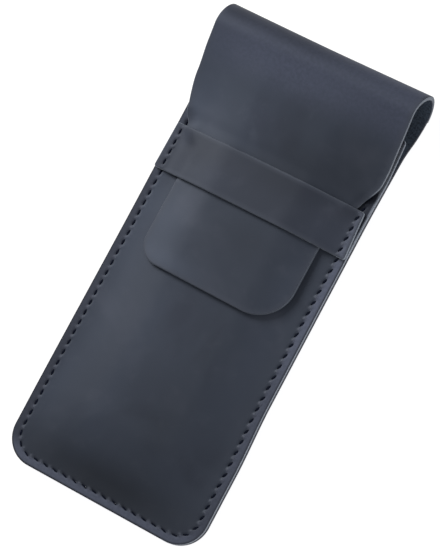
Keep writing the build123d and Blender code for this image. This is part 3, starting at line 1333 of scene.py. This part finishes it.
# Finishes
leatherTones = {
    "base": (0.034, 0.041, 0.058, 1),
    "pale": (0.060, 0.066, 0.088, 1),
    "deep": (0.024, 0.028, 0.041, 1),
    "bandTone": (0.059, 0.067, 0.102, 1),
    "pullTone": (0.105, 0.112, 0.145, 1),
    "bevelTone": (0.030, 0.033, 0.046, 1),
    # this pale tone is a painted highlight on the cut edges
    "cutTone": (0.21, 0.235, 0.275, 1),
    # this dark tone is painted shade in slits and gaps, and the burnished edges' own dark
    "holeTone": (0.004, 0.005, 0.010, 1),
    "fleshTone": (0.090, 0.118, 0.160, 1),
    "cloudSize": 34.0,  # mm
    "grainSize": 0.55,
    "roughness": 0.52,
    "bump": 0.25,
    "shine": 0.32,
    "shineTint": (0.80, 0.87, 1.0, 1),
}

# Noises over the hide: detail, roughness and distortion of each, then where it starts and is full
hideLook = {
    "cloudNoise": (3.0, 0.55, 0.6),
    "mottleNoise": (5.0, 0.6, 0.0),
    "grainNoise": (2.0, 0.6, 0.0),
    "streakNoise": (3.0, 0.6, 0.0),
    "mottleSize": 0.22,  # share of the clouds
    "streakSize": 2.2,  # times the grain
    "pale": (0.50, 0.78, 0.55),  # the third number is the most that it changes
    "deep": (0.48, 0.25, 0.75),
    "patch": (0.52, 0.85, 0.35),
    "speck": (0.35, 0.75),
    "streak": (0.3, 0.7),
    "pore": (0.0, 0.22),
    "bandStreaks": 0.4,
    "bandLeast": 0.6,
    "pullLeast": 0.1,
    "cutSpecks": 0.5,
    "cutLeast": 0.6,
    "roughUneven": 0.16,
    "roughBand": 0.12,  # the band and the flesh side are duller
    "roughFlesh": 0.35,
    "poreHeight": 0.012,  # mm
    "grainHeight": 0.022,
    "fuzzHeight": 0.12,  # on the flesh side, and a share of it at cuts
    "cutFuzz": 0.8,
    "shiftAlong": 0.7,  # a piece cut elsewhere in the hide is shifted this much less along it
}


def addNode(tree, kind, place=(0, 0), **values):
    node = tree.nodes.new(kind)
    node.location = place
    for key, value in values.items():
        setattr(node, key, value)
    return node


leatherSockets = {
    "Base": "base",
    "Pale": "pale",
    "Deep": "deep",
    "Band Tone": "bandTone",
    "Pull Tone": "pullTone",
    "Bevel Tone": "bevelTone",
    "Cut Tone": "cutTone",
    "Hole Tone": "holeTone",
    "Flesh Tone": "fleshTone",
    "Cloud Size": "cloudSize",
    "Grain Size": "grainSize",
    "Roughness": "roughness",
}


def leatherGroup():
    group = bpy.data.node_groups.new("waxedLeather", "ShaderNodeTree")
    face = group.interface
    face.new_socket("Place", in_out="INPUT", socket_type="NodeSocketVector")
    for name, key in leatherSockets.items():
        kind = "NodeSocketFloat" if isinstance(leatherTones[key], float) else "NodeSocketColor"
        face.new_socket(name, in_out="INPUT", socket_type=kind)
    for name in finishMasks:
        face.new_socket(name.capitalize(), in_out="INPUT", socket_type="NodeSocketFloat")
    outputs = {"Color": "NodeSocketColor", "Roughness Out": "NodeSocketFloat", "Height": "NodeSocketFloat"}
    for name, kind in outputs.items():
        face.new_socket(name, in_out="OUTPUT", socket_type=kind)
    enter = addNode(group, "NodeGroupInput", (-1400, 0))
    leave = addNode(group, "NodeGroupOutput", (1600, 0))
    link = group.links.new

    def maths(operation, a, b=None, place=(0, 0), clamp=False):
        node = addNode(group, "ShaderNodeMath", place, operation=operation, use_clamp=clamp)
        for socket, value in zip(node.inputs, (a, b)):
            if value is None:
                continue
            if isinstance(value, (int, float)):
                socket.default_value = value
            else:
                link(value, socket)
        return node.outputs[0]

    def scaled(size, place):
        node = addNode(group, "ShaderNodeVectorMath", place, operation="SCALE")
        link(enter.outputs["Place"], node.inputs[0])
        link(maths("DIVIDE", 1.0, size, place), node.inputs["Scale"])
        return node.outputs[0]

    def cloud(vector, key, place):
        node = addNode(group, "ShaderNodeTexNoise", place)
        link(vector, node.inputs["Vector"])
        node.inputs["Scale"].default_value = 1.0
        for name, value in zip(("Detail", "Roughness", "Distortion"), hideLook[key]):
            node.inputs[name].default_value = value
        return node.outputs["Fac"]

    def spread(value, low, high, place):
        node = addNode(group, "ShaderNodeMapRange", place, interpolation_type="SMOOTHSTEP")
        link(value, node.inputs["Value"])
        node.inputs["From Min"].default_value = low
        node.inputs["From Max"].default_value = high
        return node.outputs["Result"]

    def mix(amount, a, b, place):
        node = addNode(group, "ShaderNodeMix", place, data_type="RGBA")
        link(amount, node.inputs[0])
        link(a, node.inputs[6])
        link(b, node.inputs[7])
        return node.outputs[2]

    get = enter.outputs
    clouds = cloud(scaled(get["Cloud Size"], (-1200, 300)), "cloudNoise", (-1000, 300))
    mottleSize = maths("MULTIPLY", get["Cloud Size"], hideLook["mottleSize"], (-1200, 100))
    mottle = cloud(scaled(mottleSize, (-1200, 60)), "mottleNoise", (-1000, 60))
    grain = scaled(get["Grain Size"], (-1200, -300))
    fine = cloud(grain, "grainNoise", (-1000, -300))
    streakSize = maths("MULTIPLY", get["Grain Size"], hideLook["streakSize"], (-1200, -150))
    smear = cloud(scaled(streakSize, (-1200, -180)), "streakNoise", (-1000, -150))
    pores = addNode(group, "ShaderNodeTexVoronoi", (-1000, -520), feature="DISTANCE_TO_EDGE")
    link(grain, pores.inputs["Vector"])
    pores.inputs["Scale"].default_value = 1.0
    poreLines = spread(pores.outputs["Distance"], *hideLook["pore"], (-800, -520))

    def share(value, key, place):
        start, end, most = hideLook[key]
        return maths("MULTIPLY", spread(value, start, end, (place[0] - 200, place[1])), most, place)

    # colour: clouds and mottling first, then the seam's band, the painted light and shade with the wear,
    # and the edges and slits with their painted highlights and painted shade
    tone = mix(share(clouds, "pale", (-600, 300)), get["Base"], get["Pale"], (-400, 300))
    tone = mix(share(clouds, "deep", (-600, 150)), tone, get["Deep"], (-200, 300))
    tone = mix(share(mottle, "patch", (-600, 60)), tone, get["Pale"], (0, 300))
    speck = spread(fine, *hideLook["speck"], (-800, -300))
    streaks = spread(smear, *hideLook["streak"], (-800, -150))
    streaks = maths("MULTIPLY", streaks, hideLook["bandStreaks"], (-600, -150))
    streaks = maths("ADD", streaks, hideLook["bandLeast"], (-400, -150))
    pressed = maths("MULTIPLY", get["Band"], streaks, (0, 100), True)
    tone = mix(pressed, tone, get["Band Tone"], (200, 300))
    shadedWear = addNode(group, "ShaderNodeVectorMath", (300, 300), operation="SCALE")
    link(tone, shadedWear.inputs[0])
    link(get["Wear"], shadedWear.inputs["Scale"])
    tone = shadedWear.outputs[0]
    fibres = maths("ADD", speck, hideLook["pullLeast"], (-600, -60))
    pinched = maths("MULTIPLY", get["Pull"], fibres, (-400, -60), True)
    tone = mix(pinched, tone, get["Pull Tone"], (400, 300))
    tone = mix(get["Bevel"], tone, get["Bevel Tone"], (600, 300))
    frayed = maths("MULTIPLY", speck, hideLook["cutSpecks"], (-400, -160))
    frayed = maths("ADD", frayed, hideLook["cutLeast"], (-200, -160))
    cutHighlight = maths("MULTIPLY", get["Cut"], frayed, (0, -160), True)
    tone = mix(cutHighlight, tone, get["Cut Tone"], (800, 300))
    fuzz = mix(speck, get["Flesh Tone"], get["Base"], (800, 60))
    tone = mix(get["Flesh"], tone, fuzz, (1000, 300))
    tone = mix(get["Hole"], tone, get["Hole Tone"], (1200, 300))
    link(tone, leave.inputs["Color"])
    # roughness
    uneven = maths("SUBTRACT", mottle, 0.5, (-400, -100))
    uneven = maths("MULTIPLY", uneven, hideLook["roughUneven"], (-200, -100))
    rough = maths("ADD", get["Roughness"], uneven, (0, -100))
    duller = maths("MULTIPLY", get["Band"], hideLook["roughBand"], (0, -200))
    rough = maths("ADD", rough, duller, (200, -100))
    duller = maths("MULTIPLY", get["Flesh"], hideLook["roughFlesh"], (200, -200))
    rough = maths("ADD", rough, duller, (400, -100), True)
    link(rough, leave.inputs["Roughness Out"])
    # height in millimetres
    height = maths("MULTIPLY", poreLines, hideLook["poreHeight"], (0, -400))
    grainHeight = maths("MULTIPLY", fine, hideLook["grainHeight"], (0, -500))
    height = maths("ADD", height, grainHeight, (200, -400))
    cutFuzz = maths("MULTIPLY", get["Cut"], hideLook["cutFuzz"], (0, -600))
    fuzzy = maths("ADD", get["Flesh"], cutFuzz, (200, -600))
    fuzzy = maths("MULTIPLY", fine, fuzzy, (300, -600))
    fuzzy = maths("MULTIPLY", fuzzy, hideLook["fuzzHeight"], (400, -600))
    height = maths("ADD", height, fuzzy, (500, -400))
    link(height, leave.inputs["Height"])
    return group


waxedLeather = leatherGroup()


def leatherMaterial(name, tones, shift=0.0):
    material = bpy.data.materials.new(name)
    material.use_nodes = True
    tree = material.node_tree
    tree.nodes.clear()
    out = addNode(tree, "ShaderNodeOutputMaterial", (900, 0))
    shader = addNode(tree, "ShaderNodeBsdfPrincipled", (600, 0))
    group = addNode(tree, "ShaderNodeGroup", (200, 0), node_tree=waxedLeather)
    flat = addNode(tree, "ShaderNodeAttribute", (-200, 200), attribute_name="flat")
    moved = addNode(tree, "ShaderNodeVectorMath", (0, 200), operation="ADD")
    moved.inputs[1].default_value = (shift, shift * hideLook["shiftAlong"], 0)
    tree.links.new(flat.outputs["Vector"], moved.inputs[0])
    tree.links.new(moved.outputs[0], group.inputs["Place"])
    for n, mask in enumerate(finishMasks):
        value = addNode(tree, "ShaderNodeAttribute", (-200, -180 * n), attribute_name=mask)
        tree.links.new(value.outputs["Fac"], group.inputs[mask.capitalize()])
    for socket, key in leatherSockets.items():
        group.inputs[socket].default_value = tones[key]
    bump = addNode(tree, "ShaderNodeBump", (400, -300))
    bump.inputs["Strength"].default_value = tones["bump"]
    bump.inputs["Distance"].default_value = mm
    tree.links.new(group.outputs["Height"], bump.inputs["Height"])
    tree.links.new(group.outputs["Color"], shader.inputs["Base Color"])
    tree.links.new(group.outputs["Roughness Out"], shader.inputs["Roughness"])
    tree.links.new(bump.outputs["Normal"], shader.inputs["Normal"])
    shader.inputs["Specular IOR Level"].default_value = tones["shine"]
    shader.inputs["Specular Tint"].default_value = tones["shineTint"]
    tree.links.new(shader.outputs[0], out.inputs[0])
    return material


threadTones = {
    "dark": (0.003, 0.004, 0.010, 1),
    "light": (0.008, 0.011, 0.026, 1),
    "roughness": 0.7,
    "fibres": 6000,  # in a metre
    "bump": 0.3,
    "bumpHeight": 0.03,
    "shine": 0.06,
    "shineTint": (0.7, 0.8, 1.0, 1),
}


def threadMaterial():
    material = bpy.data.materials.new("waxedThread")
    material.use_nodes = True
    tree = material.node_tree
    shader = tree.nodes["Principled BSDF"]
    where = addNode(tree, "ShaderNodeTexCoord", (-900, 0))
    fibre = addNode(tree, "ShaderNodeTexNoise", (-700, 0))
    fibre.inputs["Scale"].default_value = threadTones["fibres"]
    tree.links.new(where.outputs["Object"], fibre.inputs["Vector"])
    ramp = addNode(tree, "ShaderNodeMix", (-400, 0), data_type="RGBA")
    ramp.inputs[6].default_value = threadTones["dark"]
    ramp.inputs[7].default_value = threadTones["light"]
    tree.links.new(fibre.outputs["Fac"], ramp.inputs[0])
    tree.links.new(ramp.outputs[2], shader.inputs["Base Color"])
    bump = addNode(tree, "ShaderNodeBump", (-300, -300))
    bump.inputs["Strength"].default_value = threadTones["bump"]
    bump.inputs["Distance"].default_value = threadTones["bumpHeight"] * mm
    tree.links.new(fibre.outputs["Fac"], bump.inputs["Height"])
    tree.links.new(bump.outputs["Normal"], shader.inputs["Normal"])
    shader.inputs["Roughness"].default_value = threadTones["roughness"]
    shader.inputs["Specular IOR Level"].default_value = threadTones["shine"]
    shader.inputs["Specular Tint"].default_value = threadTones["shineTint"]
    return material


# The flap and the strap get a paler bevel tone, a painted highlight on their rounded edges
flapTones = {**leatherTones, "bevelTone": (0.055, 0.062, 0.082, 1)}
# the strap's paler cut tone is a stronger painted highlight on its cut edges
strapTones = {
    **flapTones,
    "base": (0.031, 0.036, 0.051, 1),
    "bandTone": (0.061, 0.068, 0.092, 1),
    "cutTone": (0.30, 0.335, 0.385, 1),
}
# the front's paler cut tone is a stronger painted highlight on its cut edges
frontTones = {**leatherTones, "bandTone": (0.061, 0.068, 0.096, 1), "cutTone": (0.38, 0.42, 0.48, 1)}
bodyLeather = leatherMaterial("bodyLeather", leatherTones)
frontHide = leatherMaterial("frontHide", frontTones, 140.0)
flapHide = leatherMaterial("flapHide", flapTones)
strapHide = leatherMaterial("strapHide", strapTones, 61.0)
for piece in (backLeather, *foldLeathers):
    piece.data.materials.append(bodyLeather)
for piece, hide in ((frontLeather, frontHide), (flapLeather, flapHide), (strapLeather, strapHide)):
    piece.data.materials.append(hide)
threadFinish = threadMaterial()
for piece, node in threads:
    piece.data.materials.append(threadFinish)
for node in frame["nodes"].values():
    node.data.materials.clear()
    node.data.materials.append(bodyLeather)
print("finishes made")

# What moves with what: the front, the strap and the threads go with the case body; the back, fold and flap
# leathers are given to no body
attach(frontLeather, bodyName)
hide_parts("front_panel")
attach(strapLeather, bodyName)
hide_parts("retaining_strap")
for piece, node in threads:
    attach(piece, bodyName)
    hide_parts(node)


def rollPoint(a):
    return Vector(rollPlace(0, a, thick)) * mm


bent = [backLeather, *foldLeathers, flapLeather]
for n, piece in enumerate(bent):
    rollPoint(bendStep * n)
    rollPoint(bendStep * (n + 1))
    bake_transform(piece)
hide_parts("back_panel")
for piece, node in zip(foldLeathers, strips):
    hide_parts(node)
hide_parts(strips[-1])
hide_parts("flap_cover", "flap_tongue")

# Floor and lights: lengths in metres, lamps in watts
stage = {
    "floorWhite": (0.86, 0.87, 0.89, 1),
    "floorHalf": 1.6,
    "floorDrop": -0.0002,
    "glowTone": (0.93, 0.932, 0.962, 1),
    "shade": (0.26, 0.25, 0.20, 1),
    "world": 0.30,
    "keyPower": 2.65,
    "keySize": 0.27,
    "keyFrom": (-0.40, 0.21, 0.36),
    "fillPower": 4.0,
    "fillSize": 0.5,
    "fillFrom": (0.9, -0.12, 0.17),
}


def makeFloor():
    mesh = bpy.data.meshes.new("floor")
    half, drop = stage["floorHalf"], stage["floorDrop"]
    corners = [(-half, -half, drop), (half, -half, drop), (half, half, drop), (-half, half, drop)]
    mesh.from_pydata(corners, [], [(0, 1, 2, 3)])
    floor = bpy.data.objects.new("floor", mesh)
    bpy.context.collection.objects.link(floor)
    material = bpy.data.materials.new("whiteSweep")
    material.use_nodes = True
    tree = material.node_tree
    tree.nodes.clear()
    out = addNode(tree, "ShaderNodeOutputMaterial", (800, 0))
    plain = addNode(tree, "ShaderNodeBsdfDiffuse", (0, 200))
    plain.inputs["Color"].default_value = stage["floorWhite"]
    shade = addNode(tree, "ShaderNodeBsdfDiffuse", (0, 0))
    shade.inputs["Color"].default_value = stage["shade"]
    glow = addNode(tree, "ShaderNodeEmission", (0, -200))
    glow.inputs["Color"].default_value = stage["glowTone"]
    both = addNode(tree, "ShaderNodeAddShader", (200, -100))
    tree.links.new(shade.outputs[0], both.inputs[0])
    tree.links.new(glow.outputs[0], both.inputs[1])
    path = addNode(tree, "ShaderNodeLightPath", (0, 500))
    seen = addNode(tree, "ShaderNodeMath", (200, 500), operation="ADD")
    tree.links.new(path.outputs["Is Camera Ray"], seen.inputs[0])
    tree.links.new(path.outputs["Is Glossy Ray"], seen.inputs[1])
    seenAll = addNode(tree, "ShaderNodeMath", (400, 500), operation="ADD", use_clamp=True)
    tree.links.new(seen.outputs[0], seenAll.inputs[0])
    tree.links.new(path.outputs["Is Transmission Ray"], seenAll.inputs[1])
    mix = addNode(tree, "ShaderNodeMixShader", (600, 0))
    tree.links.new(seenAll.outputs[0], mix.inputs[0])
    tree.links.new(plain.outputs[0], mix.inputs[1])
    tree.links.new(both.outputs[0], mix.inputs[2])
    tree.links.new(mix.outputs[0], out.inputs[0])
    mesh.materials.append(material)
    floor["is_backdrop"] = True


def makeWorld():
    world = bpy.data.worlds.new("studio")
    bpy.context.scene.world = world
    world.use_nodes = True
    tree = world.node_tree
    back = tree.nodes["Background"]
    back.inputs["Color"].default_value = (1, 1, 1, 1)
    back.inputs["Strength"].default_value = stage["world"]


def makeLamp(name, power, size, place):
    lamp = bpy.data.lights.new(name, "AREA")
    lamp.energy = power
    lamp.size = size
    lampObject = bpy.data.objects.new(name, lamp)
    lampObject.location = place
    lampObject.rotation_euler = (-Vector(place)).to_track_quat("-Z", "Y").to_euler()
    bpy.context.collection.objects.link(lampObject)


makeFloor()
makeWorld()
makeLamp("key", stage["keyPower"], stage["keySize"], stage["keyFrom"])
makeLamp("fill", stage["fillPower"], stage["fillSize"], stage["fillFrom"])

# The camera looks down on the case, turned so that the fold is at the top right of the picture
view = {
    "distance": 0.8351,
    "tiltAcross": 19.18,  # degrees from straight above, to the case's right
    "tiltAlong": 2.96,  # and towards its bottom edge
    "roll": 28.03,
    "lens": 173.9,
    "sensor": 36,
    "nearest": 0.01,
    "furthest": 10,
    "target": (-0.00068, 0.00143, 0.0),
}


def makeCamera():
    across = math.tan(math.radians(view["tiltAcross"]))
    along = math.tan(math.radians(view["tiltAlong"]))
    away = Vector((across, -along, 1)).normalized()
    right = (-away).cross(Vector((0, 1, 0))).normalized()
    up = right.cross(-away)
    roll = math.radians(view["roll"])
    turnedRight = right * math.cos(roll) + up * math.sin(roll)
    turnedUp = up * math.cos(roll) - right * math.sin(roll)
    camera = bpy.data.cameras.new("camera")
    camera.lens = view["lens"]
    camera.sensor_width = view["sensor"]
    camera.clip_start = view["nearest"]
    camera.clip_end = view["furthest"]
    cameraObject = bpy.data.objects.new("camera", camera)
    turn3 = Matrix((turnedRight, turnedUp, away)).transposed()
    place = Matrix.Translation(Vector(view["target"]) + away * view["distance"])
    cameraObject.matrix_world = place @ turn3.to_4x4()
    bpy.context.collection.objects.link(cameraObject)
    bpy.context.scene.camera = cameraObject


makeCamera()
bpy.context.scene.view_settings.view_transform = "Standard"
print("stage made")

low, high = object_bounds()
